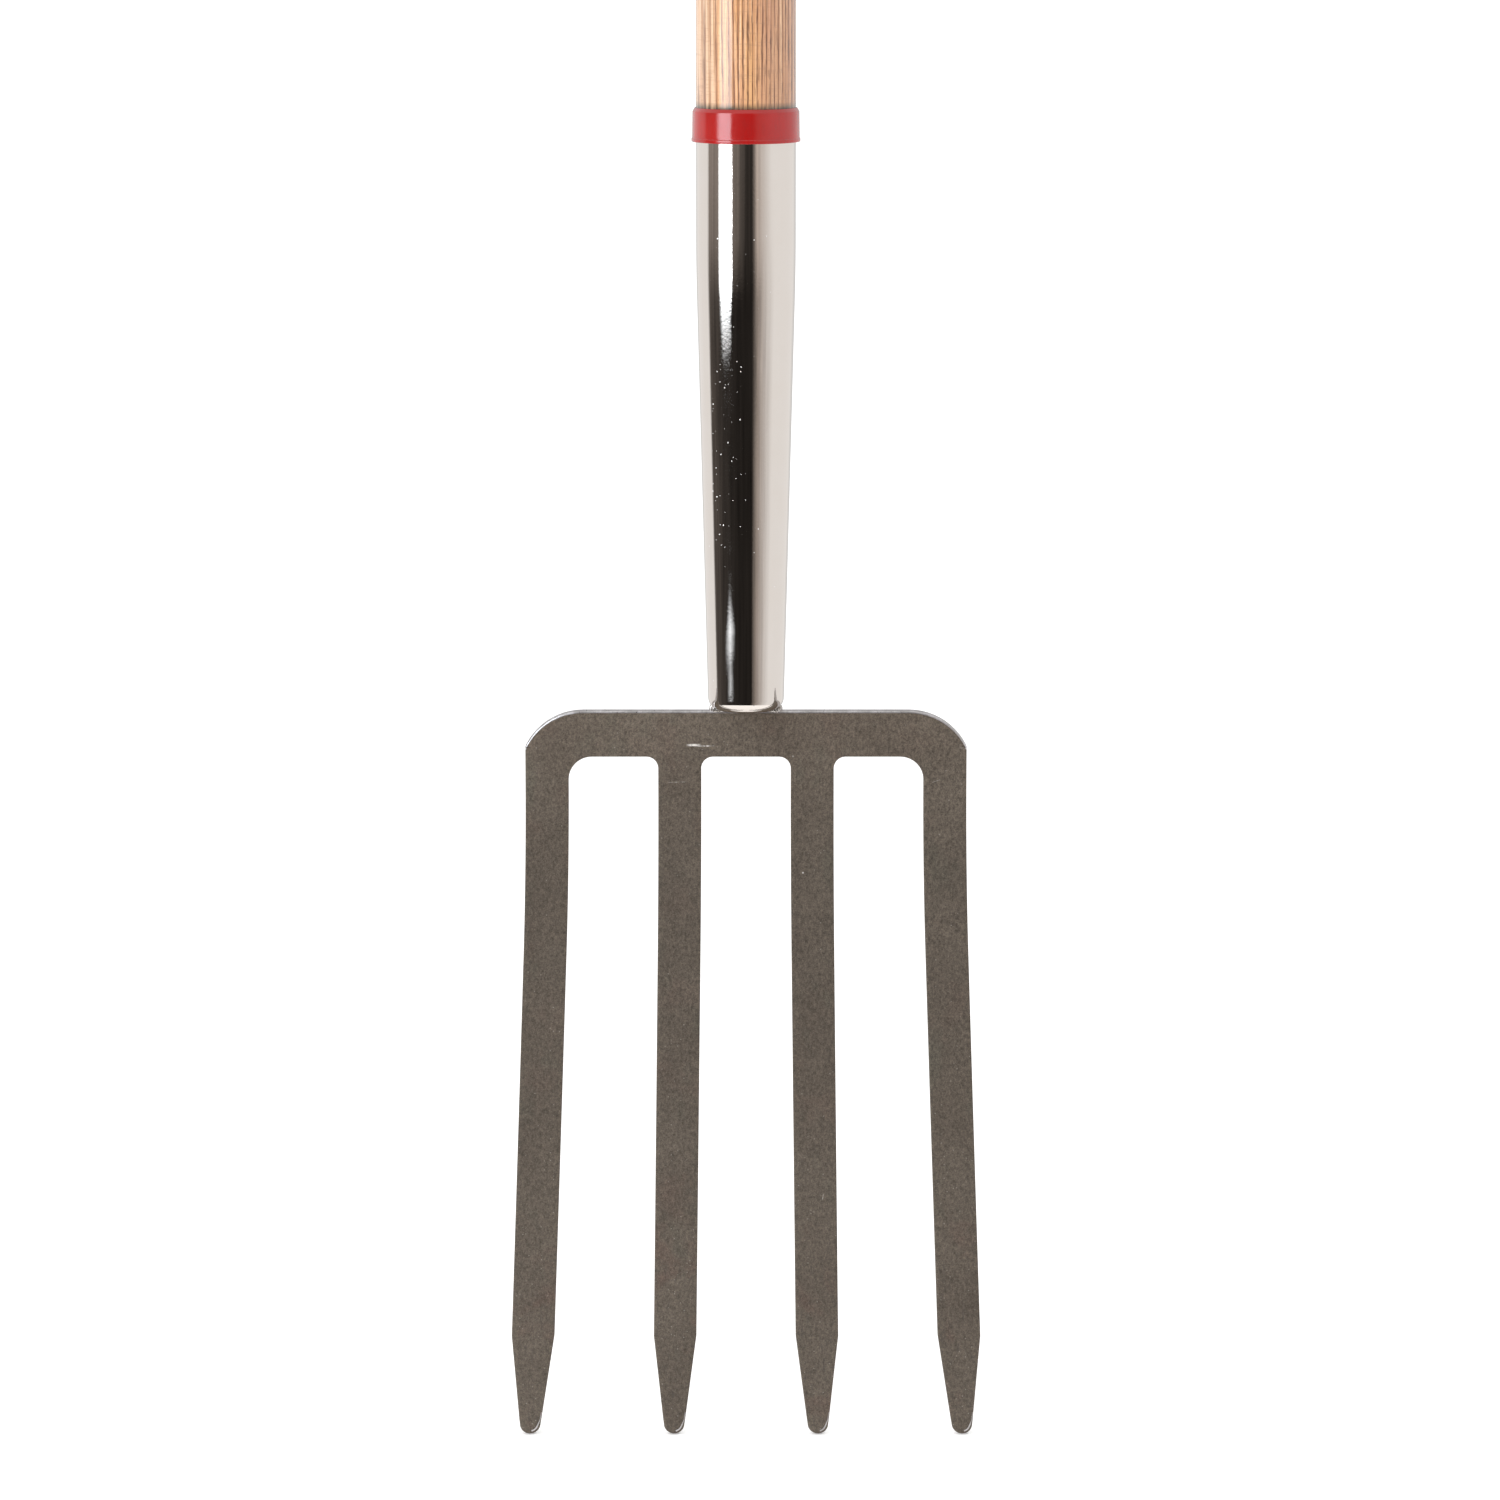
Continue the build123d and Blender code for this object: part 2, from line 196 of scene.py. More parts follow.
def head_mesh():
    """The plate as a grid of quads on each face, joined by a rounded rim, then curved forward.

    Also lists the faces of the rim that get the brighter edge metal: the rim where it faces up, and on each
    point only the lower right of its rim, a painted highlight.
    """
    turn = [math.radians(a) for a in np.linspace(0, 90, 9)]
    rows = {0.0, TREAD, GAP_TOP, POINT, TREAD - SHOULDER + SHOULDER * ARC_START}
    rows |= {POINT_ROUND * (1 - math.cos(t)) for t in turn}
    rows |= {GAP_TOP - r + r * math.sin(t) for r in (INNER_CORNER, OUTER_CORNER) for t in turn}
    shoulder_turn = [math.radians(a) for a in np.linspace(SHOULDER_TURN, 90, 12)]
    rows |= {TREAD - SHOULDER + SHOULDER * math.sin(t) for t in shoulder_turn}
    rows |= set(np.linspace(POINT_ROUND * 1.4, POINT, 12))
    rows |= set(np.linspace(POINT, GAP_TOP - OUTER_CORNER, 80))
    rows |= set(np.linspace(GAP_TOP, TREAD - SHOULDER * 0.55, 4))
    rows = sorted(round(z, 7) for z in rows)
    rows = [z for i, z in enumerate(rows) if i == 0 or z - rows[i - 1] > 0.02 * MM]
    counts = [8, 8, 8, 10, 8, 8, 8]
    grid = {}
    flat = []
    faces = []

    def vertex(i, segment, k):
        column = sum(counts[:segment]) + k
        if (i, column) not in grid:
            breaks = row_breaks(rows[i])
            x = breaks[segment] + (breaks[segment + 1] - breaks[segment]) * k / counts[segment]
            grid[i, column] = len(flat)
            flat.append([x, rows[i]])
        return grid[i, column]

    top_row = min(range(len(rows)), key=lambda i: abs(rows[i] - GAP_TOP))
    for i in range(len(rows) - 1):
        for segment in range(7):
            if segment % 2 == 1 and i < top_row:
                continue
            for k in range(counts[segment]):
                faces.append((vertex(i, segment, k), vertex(i, segment, k + 1),
                              vertex(i + 1, segment, k + 1), vertex(i + 1, segment, k)))
    flat = np.array(flat)

    # Boundary loops, with the outward normal at each vertex
    edge_use = {}
    for f in faces:
        for a, b in zip(f, f[1:] + f[:1]):
            edge_use[(a, b)] = f
    border = {a: b for (a, b) in edge_use if (b, a) not in edge_use}
    before = {b: a for a, b in border.items()}
    normal = np.zeros_like(flat)
    inset = np.zeros(len(flat))
    for a in border:
        along = [flat[border[a]] - flat[a], flat[a] - flat[before[a]]]
        outward = [np.array((d[1], -d[0])) / np.linalg.norm(d) for d in along]
        n = outward[0] + outward[1]
        n /= np.linalg.norm(n)
        normal[a] = n / max(0.5, n @ outward[0])
        inset[a] = EDGE + (TIP_EDGE - EDGE) * min(1.0, max(0.0, 1 - (flat[a][1] / POINT_ROUND - 0.7) / 0.8))
        inset[a] += (TOP_EDGE - EDGE) * max(0.0, n[1]) * (flat[a][1] > GAP_TOP)
    shift = np.zeros_like(flat)
    for a in border:
        shift[a] = -normal[a] * inset[a]

    # The grid's inner vertices follow the inset border along their rows, and in the web only up or down
    for i, z in enumerate(rows):
        for segment in (0, 2, 4, 6):
            left = grid[i, sum(counts[:segment])]
            right = grid[i, sum(counts[:segment + 1])]
            for k in range(1, counts[segment]):
                v = grid[i, sum(counts[:segment]) + k]
                if v not in border and z < GAP_TOP - 1e-6:
                    t = k / counts[segment]
                    shift[v] = shift[left] * (1 - t) + shift[right] * t
    for (i, column), v in grid.items():
        if v not in border and rows[i] >= GAP_TOP - 1e-6:
            rise = (rows[i] - GAP_TOP) / WEB
            shift[v] = (0, EDGE * (1 - rise) - TOP_EDGE * rise)
    inner = flat + shift

    verts = [(x, -PLATE / 2, z) for x, z in inner] + [(x, PLATE / 2, z) for x, z in inner]
    count = len(inner)
    quads = list(faces) + [tuple(v + count for v in reversed(f)) for f in faces]
    steps = 4
    angles = [math.pi / 2 * k / steps for k in range(1, steps + 1)]
    rings = {}
    for a in border:
        r = inset[a]
        profile = [(r * math.sin(t), -PLATE / 2 + r * (1 - math.cos(t))) for t in angles]
        profile += [(d, -y) for d, y in reversed(profile)]
        rings[a] = [a]
        for d, y in profile:
            rings[a].append(len(verts))
            point = inner[a] + normal[a] * d
            verts.append((point[0], y, point[1]))
        rings[a].append(a + count)
    upper_rim_and_highlight = []
    for a, b in border.items():
        facing = normal[a] + normal[b]
        # On the points only the lower right of the rim gets the brighter metal: a painted highlight.
        if flat[a][1] < 1.6 * POINT_ROUND:
            upper_rim_and_highlight_steps = range(0, 1) if facing[0] > 0.3 and facing[1] < 0.4 else ()
        elif facing[1] > 0.12:
            upper_rim_and_highlight_steps = range(0, 2 * steps + 1)
        else:
            upper_rim_and_highlight_steps = ()
        for k in range(len(rings[a]) - 1):
            if k in upper_rim_and_highlight_steps:
                upper_rim_and_highlight.append(len(quads))
            quads.append((rings[b][k], rings[a][k], rings[a][k + 1], rings[b][k + 1]))

    # The tips are drawn out a little thinner, and the tines curve forward
    curved = []
    for x, y, z in verts:
        y *= 1 - TIP_THINNING * max(0.0, 1 - z / (0.4 * POINT)) ** 2
        if z < CURVE_START:
            a = math.asin((CURVE_START - z) / CURVE_RADIUS)
            reach = CURVE_RADIUS + y
            y = -CURVE_RADIUS + reach * math.cos(a)
            z = CURVE_START - reach * math.sin(a)
        z += TIP_LIFT * max(0.0, 1 - z / POINT)
        curved.append((max(head_low.x, min(head_high.x, x)), y, z))
    return mesh_object("fork_plate", curved, quads), upper_rim_and_highlight


# Socket, as in the CAD model
SOCKET_RADIUS = 19.65 * MM
SOCKET_FOOT = 15.15 * MM
FOOT_CORNER = 5.0 * MM
TAPER = math.radians(1.5)
SOCKET_BEND = 0.917
SOCKET_WALL = 1.6 * MM
SOCKET_FLOOR = 12.0 * MM


def socket_mesh():
    slope = math.tan(TAPER)
    taper_top = SEAT + FOOT_CORNER + (SOCKET_RADIUS - SOCKET_FOOT) / slope
    corner = (SOCKET_FOOT - FOOT_CORNER, SEAT + FOOT_CORNER)
    corner_steps = arc(corner, FOOT_CORNER, -90, -math.degrees(TAPER), 13)
    bend_half = SOCKET_BEND * math.tan(TAPER / 2)
    bend_centre = (SOCKET_RADIUS - SOCKET_BEND, taper_top + bend_half)
    bend_steps = arc(bend_centre, SOCKET_BEND, -math.degrees(TAPER), 0, 9)
    wall_start, wall_end = corner_steps[-1], bend_steps[0]
    # Short rows next to both bends keep the shading of the straight taper true
    steps = [0, 0.001, 0.003] + list(np.linspace(0.01, 0.99, 12)) + [0.997, 0.999, 1]
    wall = [tuple(np.add(wall_start, np.subtract(wall_end, wall_start) * t)) for t in steps]
    bore_radius = SOCKET_RADIUS - SOCKET_WALL
    bore_floor = SEAT + SOCKET_FLOOR
    floor_radius = bore_radius - (taper_top - bore_floor) * slope
    top = socket_high.z
    rim = arc((SOCKET_RADIUS - SOCKET_WALL / 2, top - SOCKET_WALL / 2), SOCKET_WALL / 2, 0, 180, 9)
    profile = [(0, SEAT), (corner[0] * 0.5, SEAT)] + corner_steps + wall[1:] + bend_steps[1:]
    bend_top = bend_steps[-1][1]
    straight = rim[0][1] - bend_top
    profile += [(SOCKET_RADIUS, bend_top + straight * t) for t in (0.01, 0.03, 0.35, 0.7, 0.99)]
    profile += rim
    profile += [(bore_radius, taper_top), (floor_radius, bore_floor), (0, bore_floor)]
    return lathe("socket_tube", profile, 192)


def weld_mesh():
    """A thin bead round the plate under the socket, thicker at its two ends."""
    half_length, half_depth = weld_high.x - 2.6 * MM, PLATE / 2 - 0.3 * MM
    steps, sides = 240, 16
    wobble = random.Random(4)
    waves = [(wobble.randint(9, 40), wobble.uniform(0, 6.28), wobble.uniform(0.03, 0.09)) for _ in range(7)]
    verts, faces = [], []
    for i in range(steps):
        a = 2 * math.pi * i / steps
        c, q = math.cos(a), math.sin(a)
        x = half_length * math.copysign(abs(c) ** 0.35, c)
        y = half_depth * math.copysign(abs(q) ** 0.6, q)
        end = max(0.0, (abs(x) / half_length - 0.72) / 0.28)
        radius = (0.75 + 1.15 * end) * MM * (1 + sum(h * math.sin(k * a + p) for k, p, h in waves))
        out = Vector((c * 0.6, q, 0)).normalized()
        for j in range(sides):
            b = 2 * math.pi * j / sides
            lift = radius * math.sin(b) + (0.2 + 0.5 * end) * MM
            verts.append((x + out.x * radius * math.cos(b), y + out.y * radius * math.cos(b), TREAD + lift))
    for i in range(steps):
        for j in range(sides):
            k, m = (i + 1) % steps, (j + 1) % sides
            faces.append((i * sides + j, k * sides + j, k * sides + m, i * sides + m))
    return mesh_object("weld_bead", verts, faces)


def collar_mesh():
    """The ring: a chamfer at the top, a slight taper, and a rounded lip at the foot."""
    low, high, outer = collar_low.z, collar_high.z, collar_high.x
    inner = shaft_high.x
    lip, step = outer, outer - 0.25 * MM
    profile = [(inner, low + 0.5 * MM), (inner + 0.3 * MM, low)]
    profile += arc((lip - 0.45 * MM, low + 0.45 * MM), 0.45 * MM, -90, 0, 6)
    profile += arc((lip - 0.3 * MM, low + 1.2 * MM), 0.3 * MM, 0, 60, 5)
    profile += [(step, low + 1.65 * MM), (step - 0.02 * MM, low + 3 * MM), (step - 0.08 * MM, low + 7 * MM)]
    profile += arc((step - 0.5 * MM, high - 1.55 * MM), 0.35 * MM, 0, 45, 5)
    profile += arc((inner + 0.35 * MM, high - 0.3 * MM), 0.3 * MM, 45, 180, 7)
    return lathe("collar_ring", profile, 192, closed=True)


def shaft_mesh():
    """The ash shaft, with its tapered end in the socket."""
    radius, top, end = shaft_high.x, shaft_high.z, shaft_low.z
    bore = SOCKET_RADIUS - SOCKET_WALL - 0.1 * MM
    slope = math.tan(TAPER)
    taper_top = SEAT + FOOT_CORNER + (SOCKET_RADIUS - SOCKET_FOOT) / slope
    rim = socket_high.z
    end_radius = bore - (taper_top - end) * slope
    profile = [(0, end), (end_radius - 1 * MM, end), (end_radius, end + 1 * MM),
               (bore, taper_top), (bore, rim), (radius - 0.3 * MM, rim)]
    profile += [(radius, rim + (top - rim) * t) for t in np.linspace(0.002, 0.995, 60)]
    profile += [(radius - 1 * MM, top), (0, top)]
    return lathe("ash_shaft", profile, 160)


def rivet_mesh(name, height, shank, head, ends):
    """A rivet from front to back; ends gives (y of the seat, y of the dome's crown) for each head."""
    profile = []
    for seat, crown in ends:
        rise = crown - seat
        flange = rise * 0.3
        dome = [(head * math.cos(t), seat + flange + (rise - flange) * math.sin(t))
                for t in np.linspace(0, math.pi / 2, 12)]
        edge = (head, seat + math.copysign(0.2 * MM, rise))
        profile.append([(shank, seat), (head - 0.2 * MM, seat), edge] + dome)
    if len(profile) == 1:
        points = [(0, -ends[0][1] * 0.15), (shank, -ends[0][1] * 0.15)] + profile[0]
    else:
        points = list(reversed(profile[0])) + profile[1]
    return lathe(name, points, 64, about_y(height))


def sleeve_mesh():
    """The soft sleeve of the crossbar: slightly oval and barrel-shaped, with rounded grooves round it."""
    half = sleeve_high.x
    height = (sleeve_low.z + sleeve_high.z) / 2
    outer = (sleeve_high.z - sleeve_low.z) / 2
    inner = outer - 3.0 * MM
    pitch, grooves = 10 * MM, 7
    rounding = 1.5 * MM
    rows = []
    for x in np.linspace(-half, half, 260):
        near = min(abs(x - (k - (grooves - 1) / 2) * pitch) for k in range(grooves))
        groove = 0.9 * MM * math.exp(-((near / (1.0 * MM)) ** 2))
        barrel = 0.5 * MM * (x / half) ** 2
        end = max(0.0, abs(x) - (half - rounding))
        cut = rounding * (1 - math.sqrt(max(0.0, 1 - (end / rounding) ** 2)))
        rows.append((outer - groove - barrel - cut, x))
    profile = [(inner, -half)] + rows + [(inner, half)]
    return lathe("grip_sleeve_soft", profile, 96, about_x(height, 0.97), closed=True)


def grip_mesh():
    """The moulded frame: the CAD shape, remeshed evenly and softened."""
    obj = bpy.data.objects.new("grip_yoke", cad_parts["grip_frame"].data.copy())
    bpy.context.collection.objects.link(obj)
    remesh = obj.modifiers.new("even", "REMESH")
    remesh.mode = "VOXEL"
    remesh.voxel_size = 1.1 * MM
    smooth = obj.modifiers.new("soft", "SMOOTH")
    smooth.factor = 0.5
    smooth.iterations = 6
    mesh = bpy.data.meshes.new_from_object(obj.evaluated_get(bpy.context.evaluated_depsgraph_get()))
    mesh.name = "grip_yoke"
    obj.modifiers.clear()
    obj.data = mesh
    mesh.shade_smooth()
    return obj


# ---------------------------------------------------------------- material helpers

class Nodes:
    """A short way to write node trees."""

    def __init__(self, tree):
        self.tree = tree

    def add(self, kind, **inputs):
        props = {k[2:]: inputs.pop(k) for k in list(inputs) if k.startswith("p_")}
        node = self.tree.nodes.new(kind)
        for key, value in props.items():
            setattr(node, key, value)
        for key, value in inputs.items():
            self.put(node.inputs[int(key[1:])] if key[0] == "i" and key[1:].isdigit()
                     else node.inputs[key.replace("_", " ")], value)
        return node

    def put(self, socket, value):
        if isinstance(value, bpy.types.NodeSocket):
            self.tree.links.new(value, socket)
        elif isinstance(value, bpy.types.Node):
            self.tree.links.new(value.outputs[0], socket)
        else:
            socket.default_value = value

    def math(self, operation, a, b=0.0, clamp=False):
        return self.add("ShaderNodeMath", p_operation=operation, p_use_clamp=clamp, i0=a, i1=b).outputs[0]

    def mix(self, factor, a, b, blend="MIX"):
        node = self.add("ShaderNodeMix", p_data_type="RGBA", p_blend_type=blend)
        self.put(node.inputs[0], factor)
        self.put(node.inputs[6], a)
        self.put(node.inputs[7], b)
        return node.outputs[2]

    def noise(self, vector, scale, detail=3.0, roughness=0.5, distortion=0.0):
        return self.add("ShaderNodeTexNoise", Vector=vector, Scale=scale, Detail=detail,
                        Roughness=roughness, Distortion=distortion).outputs[0]

    def cells(self, vector, scale):
        """Random cells: the distance from the middle of each, and two random numbers for each."""
        node = self.add("ShaderNodeTexVoronoi", Vector=vector, Scale=scale, Randomness=1.0)
        chance = self.add("ShaderNodeSeparateColor", Color=node.outputs["Color"])
        return node.outputs["Distance"], chance.outputs[0], chance.outputs[1]

    def shade(self, colour, factor):
        """A colour times a number."""
        times = self.add("ShaderNodeCombineColor", Red=factor, Green=factor, Blue=factor).outputs[0]
        return self.mix(1.0, colour, times, "MULTIPLY")

    def stretch(self, vector, x, y, z):
        return self.add("ShaderNodeVectorMath", p_operation="MULTIPLY", i0=vector, i1=(x, y, z)).outputs[0]

    def ramp(self, factor, stops, interpolation="LINEAR"):
        node = self.add("ShaderNodeValToRGB", Fac=factor)
        ramp = node.color_ramp
        ramp.interpolation = interpolation
        while len(ramp.elements) < len(stops):
            ramp.elements.new(0.5)
        for element, (place, colour) in zip(ramp.elements, stops):
            element.position = place
            element.color = (*colour, 1.0) if len(colour) == 3 else colour
        return node.outputs[0]

    def grade(self, value, low, high, out_low=0.0, out_high=1.0):
        return self.add("ShaderNodeMapRange", p_clamp=True, i0=value, i1=low, i2=high, i3=out_low,
                        i4=out_high).outputs[0]

    def bump(self, height, distance, strength=1.0, normal=None):
        node = self.add("ShaderNodeBump", Height=height, Distance=distance, Strength=strength)
        if normal is not None:
            self.put(node.inputs["Normal"], normal)
        return node.outputs[0]


def material(name, roughness=0.5, metallic=0.0, specular=0.5, coat=0.0, coat_roughness=0.1, sheen=0.0):
    """A new material: its node writer, its Principled shader and its object coordinates."""
    mat = bpy.data.materials.new(name)
    mat.use_nodes = True
    tree = mat.node_tree
    shader = tree.nodes["Principled BSDF"]
    shader.inputs["Roughness"].default_value = roughness
    shader.inputs["Metallic"].default_value = metallic
    shader.inputs["Specular IOR Level"].default_value = specular
    shader.inputs["Coat Weight"].default_value = coat
    shader.inputs["Coat Roughness"].default_value = coat_roughness
    shader.inputs["Sheen Weight"].default_value = sheen
    nodes = Nodes(tree)
    place = nodes.add("ShaderNodeTexCoord").outputs["Object"]
    return mat, nodes, shader, place


def grey(value):
    return (value, value, value)


PLATE_DARK = (0.091, 0.071, 0.054)
PLATE_LIGHT = (0.114, 0.092, 0.071)
RINGS_PER_METRE = 560.0
RING_CROWDING = 7.0
RING_WANDER = 0.007             # metres


# ---------------------------------------------------------------- materials

def streak(n, place, centre, half_size, angle, seed):
    """A mask for one broken scratch on the front of the plate: centre (x, z) and half length and width."""
    turned = n.add("ShaderNodeVectorRotate", p_rotation_type="Y_AXIS", Vector=place,
                   Center=(centre[0], 0, centre[1]), Angle=math.radians(angle)).outputs[0]
    parts = n.add("ShaderNodeSeparateXYZ", Vector=turned)
    along = n.math("ABSOLUTE", n.math("SUBTRACT", parts.outputs[0], centre[0]))
    across = n.math("ABSOLUTE", n.math("SUBTRACT", parts.outputs[2], centre[1]))
    mask = n.math("MULTIPLY", n.grade(along, half_size[0] * 0.3, half_size[0], 1, 0),
                  n.grade(across, half_size[1] * 0.3, half_size[1], 1, 0))
    moved = n.add("ShaderNodeVectorMath", p_operation="ADD", i0=place, i1=(seed, seed, seed)).outputs[0]
    return n.math("MULTIPLY", mask, n.grade(n.noise(moved, 700, 2, 0.6), 0.4, 0.6, 0.2, 1))


# Scratches on the front of the plate: centre (x, z) and half size in mm, angle in degrees, strength
SCRATCHES = (((-21.0, 279.6), (3.2, 0.6), 1.0, 1.0), ((-16.5, 279.2), (4.2, 0.35), 1.5, 0.9),
             ((-27.2, 264.6), (4.6, 0.2), 2.0, 0.35), ((18.8, 275.0), (0.5, 0.4), 0.0, 0.7),
             ((22.8, 227.8), (0.45, 0.45), 0.0, 0.6), ((76.0, 265.0), (2.4, 0.2), 20.0, 0.3),
             ((31.0, 96.0), (0.22, 1.6), -12.0, 0.3))


def plate_steel():
    """Matt hot-rolled steel: fine grey-brown mottling, faint warm patches, pits low down, scratches."""
    mat, n, shader, place = material("plate_steel", metallic=0.35, specular=0.4)
    height = n.add("ShaderNodeSeparateXYZ", Vector=place).outputs[2]
    fine = n.noise(place, 1900, 3, 0.75)
    grain = n.noise(n.stretch(place, 1, 1, 0.7), 900, 4, 0.7)
    patches = n.noise(place, 26, 3, 0.55)
    warm = n.noise(place, 42, 4, 0.6, 0.4)
    cool = n.noise(n.stretch(place, 1, 1, 0.5), 75, 3, 0.6)
    pits = n.noise(n.stretch(place, 1, 1, 0.16), 560, 3, 0.7)
    low = n.grade(height, 0.02, 0.13, 1, 0)
    base = n.ramp(patches, [(0.3, PLATE_DARK), (0.7, PLATE_LIGHT)])
    warmth = n.math("MULTIPLY", n.grade(warm, 0.54, 0.68, 0, 0.5), n.grade(height, 0.05, 0.13, 1, 0.35))
    base = n.mix(warmth, base, (0.120, 0.072, 0.056, 1))
    base = n.mix(n.grade(cool, 0.58, 0.72, 0, 0.35), base, (0.088, 0.083, 0.062, 1))
    mottle = n.math("ADD", n.math("MULTIPLY", fine, 0.5), n.math("MULTIPLY", grain, 0.5))
    mottle = n.ramp(mottle, [(0.36, grey(0.48)), (0.5, grey(0.97)), (0.64, grey(1.52))])
    base = n.mix(1.0, base, mottle, "MULTIPLY")
    # Painted light: the plate's colour gets lighter with height, towards the tread.
    painted_web_light = n.grade(height, GAP_TOP - 40 * MM, TREAD, 0.96, 1.25)
    base = n.shade(base, painted_web_light)
    pitted = n.math("MULTIPLY", n.grade(pits, 0.6, 0.68), n.math("ADD", n.math("MULTIPLY", low, 0.5), 0.12))
    base = n.mix(pitted, base, (0.05, 0.042, 0.036, 1))
    scratch = 0.0
    for k, (centre, half_size, angle, strength) in enumerate(SCRATCHES):
        mask = streak(n, place, [v * MM for v in centre], [v * MM for v in half_size], angle, k)
        scratch = n.math("MAXIMUM", n.math("MULTIPLY", mask, strength), scratch)
    distance, chance, _ = n.cells(place, 800)
    rarity = n.math("ADD", n.grade(height, 0.05, 0.16, 0.84, 0.94), n.grade(patches, 0.4, 0.6, 0.06, 0.0))
    speck = n.grade(distance, 0.08, 0.26, 1, 0)
    speck = n.math("MULTIPLY", speck, n.math("GREATER_THAN", chance, rarity))
    base = n.mix(n.math("MULTIPLY", speck, 0.5), base, (0.36, 0.32, 0.28, 1))
    base = n.mix(n.math("MULTIPLY", scratch, 0.95), base, (0.80, 0.76, 0.72, 1))
    n.put(shader.inputs["Base Color"], base)
    n.put(shader.inputs["Roughness"], n.grade(grain, 0.3, 0.7, 0.44, 0.62))
    relief = n.math("ADD", n.math("MULTIPLY", fine, 0.4), grain)
    relief = n.math("SUBTRACT", relief, n.math("MULTIPLY", pitted, 1.5))
    n.put(shader.inputs["Normal"], n.bump(n.math("SUBTRACT", relief, scratch), 0.0001, 0.6))
    return mat


def edge_steel():
    """Brighter metal with fine lines across the thickness: the plate's sheared rim where it faces up, and a
    painted highlight on the lower right of the points.
    """
    mat, n, shader, place = material("edge_steel", metallic=0.85, specular=0.5)
    lines = n.noise(n.stretch(place, 1, 0.12, 1), 1300, 3, 0.65)
    cloud = n.noise(place, 140, 3, 0.6)
    base = n.mix(n.grade(cloud, 0.35, 0.65), (0.40, 0.385, 0.385, 1), (0.62, 0.60, 0.61, 1))
    dark_lines = n.grade(lines, 0.35, 0.65, 0.35, 0)
    n.put(shader.inputs["Base Color"], n.mix(dark_lines, base, (0.2, 0.18, 0.17, 1)))
    n.put(shader.inputs["Roughness"], n.grade(lines, 0.3, 0.7, 0.26, 0.42))
    n.put(shader.inputs["Normal"], n.bump(lines, 0.00006, 0.5))
    return mat


def polished_steel():
    """Mirror-polished steel with a trace of orange peel, dust, and pits coloured near white and matt as
    painted glints.
    """
    mat, n, shader, place = material("polished_steel", metallic=1.0)
    spread = n.noise(place, 75, 3, 0.6)
    ripple = n.noise(n.stretch(place, 1, 1, 0.7), 1100, 3, 0.7)
    slow = n.noise(n.stretch(place, 1, 1, 0.25), 160, 2)
    distance, chance, chance_of_size = n.cells(place, 620)
    size = n.grade(chance_of_size, 0.0, 1.0, 0.05, 0.19)
    pit = n.math("SUBTRACT", 1.0, n.math("DIVIDE", distance, size), clamp=True)
    # Most pits lie in one patch at the front, half way up
    parts = n.add("ShaderNodeSeparateXYZ", Vector=place)
    patch_high = n.grade(parts.outputs[2], SEAT + 0.055, SEAT + 0.07)
    patch_low = n.grade(parts.outputs[2], SEAT + 0.135, SEAT + 0.15, 1, 0)
    patch_side = n.math("MULTIPLY", n.grade(parts.outputs[0], -0.014, -0.012),
                        n.grade(parts.outputs[0], -0.003, 0.001, 1, 0))
    patch = n.math("MULTIPLY", n.math("MULTIPLY", patch_high, patch_low), patch_side)
    rarity = n.math("SUBTRACT", n.grade(spread, 0.4, 0.62, 0.99, 0.93), n.math("MULTIPLY", patch, 0.5))
    pit = n.math("MULTIPLY", pit, n.math("GREATER_THAN", chance, rarity))
    distance, chance, _ = n.cells(place, 1500)
    speck = n.grade(distance, 0.1, 0.3, 1, 0)
    speck = n.math("MULTIPLY", speck, n.math("GREATER_THAN", chance, 0.93))
    dust = n.math("MULTIPLY", speck, n.grade(parts.outputs[2], SEAT + 0.12, SEAT + 0.17, 0.25, 1.0))
    base = n.mix(n.grade(spread, 0.3, 0.7, 0, 0.5), (0.735, 0.68, 0.635, 1), (0.715, 0.655, 0.60, 1))
    # Painted glints: the pits are coloured near white, less metallic and rougher.
    painted_glint = n.math("MINIMUM", n.math("MULTIPLY", pit, 2.4), 1.0)
    n.put(shader.inputs["Base Color"], n.mix(painted_glint, base, (0.95, 0.94, 0.93, 1)))
    n.put(shader.inputs["Metallic"], n.math("SUBTRACT", 1.0, n.math("MULTIPLY", painted_glint, 0.85)))
    dull = n.grade(spread, 0.35, 0.7, 0.018, 0.045)
    rough = n.math("ADD", n.math("MULTIPLY", pit, 0.22), n.math("MULTIPLY", dust, 0.16))
    n.put(shader.inputs["Roughness"], n.math("ADD", dull, rough))
    patchy = n.math("MULTIPLY", n.math("SUBTRACT", ripple, 0.5), n.grade(spread, 0.4, 0.62, 0.25, 1))
    relief = n.math("ADD", patchy, n.math("MULTIPLY", slow, 0.35))
    wavy = n.bump(relief, 0.00001, 1.0)
    n.put(shader.inputs["Normal"], n.bump(pit, 0.00012, 1.0, wavy))
    return mat


def weld_steel():
    """A bright weld bead with brownish heat tint."""
    mat, n, shader, place = material("weld_steel", metallic=0.9)
    soot = n.noise(place, 420, 4, 0.6)
    n.put(shader.inputs["Base Color"], n.ramp(soot, [(0.38, (0.17, 0.14, 0.12)), (0.55, (0.5, 0.47, 0.44)),
                                                     (0.7, (0.66, 0.62, 0.6))]))
    n.put(shader.inputs["Roughness"], n.grade(soot, 0.3, 0.7, 0.16, 0.34))
    n.put(shader.inputs["Normal"], n.bump(soot, 0.0002, 0.6))
    return mat


